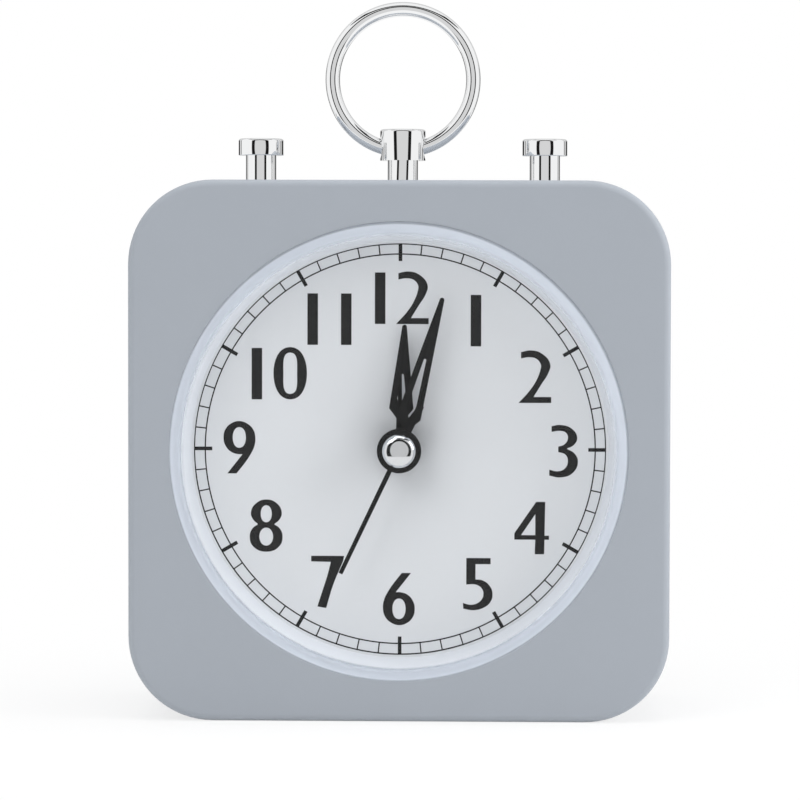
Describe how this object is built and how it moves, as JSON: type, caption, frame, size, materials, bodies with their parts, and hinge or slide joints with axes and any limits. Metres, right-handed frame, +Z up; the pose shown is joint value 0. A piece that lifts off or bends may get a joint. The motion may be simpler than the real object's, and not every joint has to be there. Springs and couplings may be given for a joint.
{
  "type": "pendulette clock",
  "caption": "Square table alarm clock with rounded corners, a round clear lens over a white dial, a carry ring on a post and push buttons on top.",
  "frame": {"origin": "centre of the flat bottom of the case, midway between its front and rear faces", "axes": "+X to the viewer's right, +Z up, the dial looks along -Y"},
  "size_m": [0.1, 0.0455, 0.134],
  "materials": {
    "case_grey": "satin",
    "clear_lens": "gloss",
    "ring_white": "satin",
    "dial_white": "matte",
    "hand_black": "satin",
    "chrome": "polished",
    "steel": "satin",
    "spring_steel": "satin",
    "brass": "satin",
    "gear_white": "satin",
    "gear_black": "satin",
    "module_black": "matte",
    "plate_white": "satin",
    "board_green": "satin",
    "copper": "gloss",
    "magnet": "satin",
    "battery_sleeve": "gloss",
    "lamp_clear": "gloss"
  },
  "bodies": {
    "case": {"front_housing": "case_grey", "rear_cover": "case_grey", "case_screws": "steel", "lens": "clear_lens", "dial_ring": "ring_white", "dial": "dial_white", "mounting_plate": "plate_white", "plate_screws": "steel", "module_screws": "steel", "movement_base": "module_black", "train_plate": "plate_white", "movement_cover": "module_black", "stator": "steel", "coil": "copper", "coil_core": "steel", "circuit_board": "board_green", "quartz_crystal": "steel", "battery": "battery_sleeve", "plus_contact": "steel", "minus_contact": "steel", "battery_spring": "spring_steel", "switch_body": "module_black", "buzzer": "brass", "ring_post": "chrome", "post_washer": "steel", "post_nut": "steel", "light_spring": "spring_steel", "snooze_spring": "spring_steel", "light_switch": "module_black", "snooze_switch": "module_black", "top_board": "board_green", "board_screws": "steel", "dial_lamp": "lamp_clear", "lamp_leads": "steel"},
    "carry_ring": {"carry_ring": "chrome"},
    "light_button": {"light_button": "chrome", "light_clip": "spring_steel"},
    "snooze_button": {"snooze_button": "chrome", "snooze_clip": "spring_steel"},
    "alarm_slider": {"alarm_slider": "gear_black"},
    "battery_door": {"battery_door": "case_grey"},
    "minute": {"minute_hand": "hand_black", "cannon_pinion": "brass"},
    "hour": {"hour_hand": "hand_black", "hour_wheel": "gear_white"},
    "motion": {"motion_wheel": "gear_white"},
    "time_set": {"time_shaft": "gear_black", "time_knob": "gear_black"},
    "second": {"second_hand": "hand_black", "hub_cap": "chrome", "second_wheel": "gear_white"},
    "intermediate": {"intermediate_wheel": "gear_white"},
    "rotor": {"rotor": "magnet"},
    "third": {"third_wheel": "gear_white"},
    "centre": {"centre_wheel": "brass"},
    "alarm": {"alarm_hand": "hand_black", "alarm_wheel": "gear_white"},
    "alarm_set": {"alarm_shaft": "gear_black", "alarm_knob": "gear_black"}
  },
  "joints": [
    {"name": "ring_swing", "type": "hinge", "parent": "case", "child": "carry_ring", "pos_m": [0, 0, 0.10635], "axis": [1, 0, 0], "range_deg": [-100, 100]},
    {"name": "light_press", "type": "slide", "parent": "case", "child": "light_button", "axis": [0, 0, -1], "range_m": [0, 0.0022], "stiffness_N_per_m": 500, "springref_m": -0.002, "deforming": ["light_spring"]},
    {"name": "snooze_press", "type": "slide", "parent": "case", "child": "snooze_button", "axis": [0, 0, -1], "range_m": [0, 0.0022], "stiffness_N_per_m": 500, "springref_m": -0.002, "deforming": ["snooze_spring"]},
    {"name": "alarm_slide", "type": "slide", "parent": "case", "child": "alarm_slider", "axis": [1, 0, 0], "range_m": [0, 0.004]},
    {"name": "door_swing", "type": "hinge", "parent": "case", "child": "battery_door", "pos_m": [0, 0.018, 0.0216], "axis": [-1, 0, 0], "range_deg": [0, 85]},
    {"name": "minute_turn", "type": "hinge", "parent": "case", "child": "minute", "pos_m": [0, -0.0138, 0.05], "axis": [0, 1, 0], "continuous": true},
    {"name": "hour_turn", "type": "hinge", "parent": "case", "child": "hour", "pos_m": [0, -0.0127, 0.05], "axis": [0, 1, 0], "continuous": true},
    {"name": "motion_turn", "type": "hinge", "parent": "case", "child": "motion", "pos_m": [0.007, -0.0036, 0.05506], "axis": [0, 1, 0], "continuous": true},
    {"name": "time_set_turn", "type": "hinge", "parent": "case", "child": "time_set", "pos_m": [0.014, 0.018, 0.05], "axis": [0, 1, 0], "continuous": true},
    {"name": "second_turn", "type": "hinge", "parent": "case", "child": "second", "pos_m": [0, -0.0152, 0.05], "axis": [0, 1, 0], "continuous": true},
    {"name": "intermediate_turn", "type": "hinge", "parent": "case", "child": "intermediate", "pos_m": [-0.00643, 0.0034, 0.0554], "axis": [0, 1, 0], "continuous": true},
    {"name": "rotor_turn", "type": "hinge", "parent": "case", "child": "rotor", "pos_m": [-0.00743, 0.0052, 0.06107], "axis": [0, 1, 0], "continuous": true},
    {"name": "third_turn", "type": "hinge", "parent": "case", "child": "third", "pos_m": [0.00279, 0.0006, 0.05767], "axis": [0, 1, 0], "continuous": true},
    {"name": "centre_turn", "type": "hinge", "parent": "case", "child": "centre", "pos_m": [0, -0.0008, 0.05], "axis": [0, 1, 0], "continuous": true},
    {"name": "alarm_turn", "type": "hinge", "parent": "case", "child": "alarm", "pos_m": [0, -0.0116, 0.05], "axis": [0, 1, 0], "continuous": true},
    {"name": "alarm_set_turn", "type": "hinge", "parent": "case", "child": "alarm_set", "pos_m": [-0.014, 0.018, 0.05], "axis": [0, 1, 0], "continuous": true}
  ],
  "couplings": [
    {"joint": "hour_turn", "follows": "minute_turn", "ratio": 0.083333},
    {"joint": "motion_turn", "follows": "minute_turn", "ratio": -0.33333},
    {"joint": "time_set_turn", "follows": "minute_turn", "ratio": 1},
    {"joint": "intermediate_turn", "follows": "second_turn", "ratio": -6},
    {"joint": "rotor_turn", "follows": "second_turn", "ratio": 30},
    {"joint": "third_turn", "follows": "second_turn", "ratio": -0.13333},
    {"joint": "centre_turn", "follows": "second_turn", "ratio": 0.016667},
    {"joint": "alarm_turn", "follows": "alarm_set_turn", "ratio": -1}
  ]
}
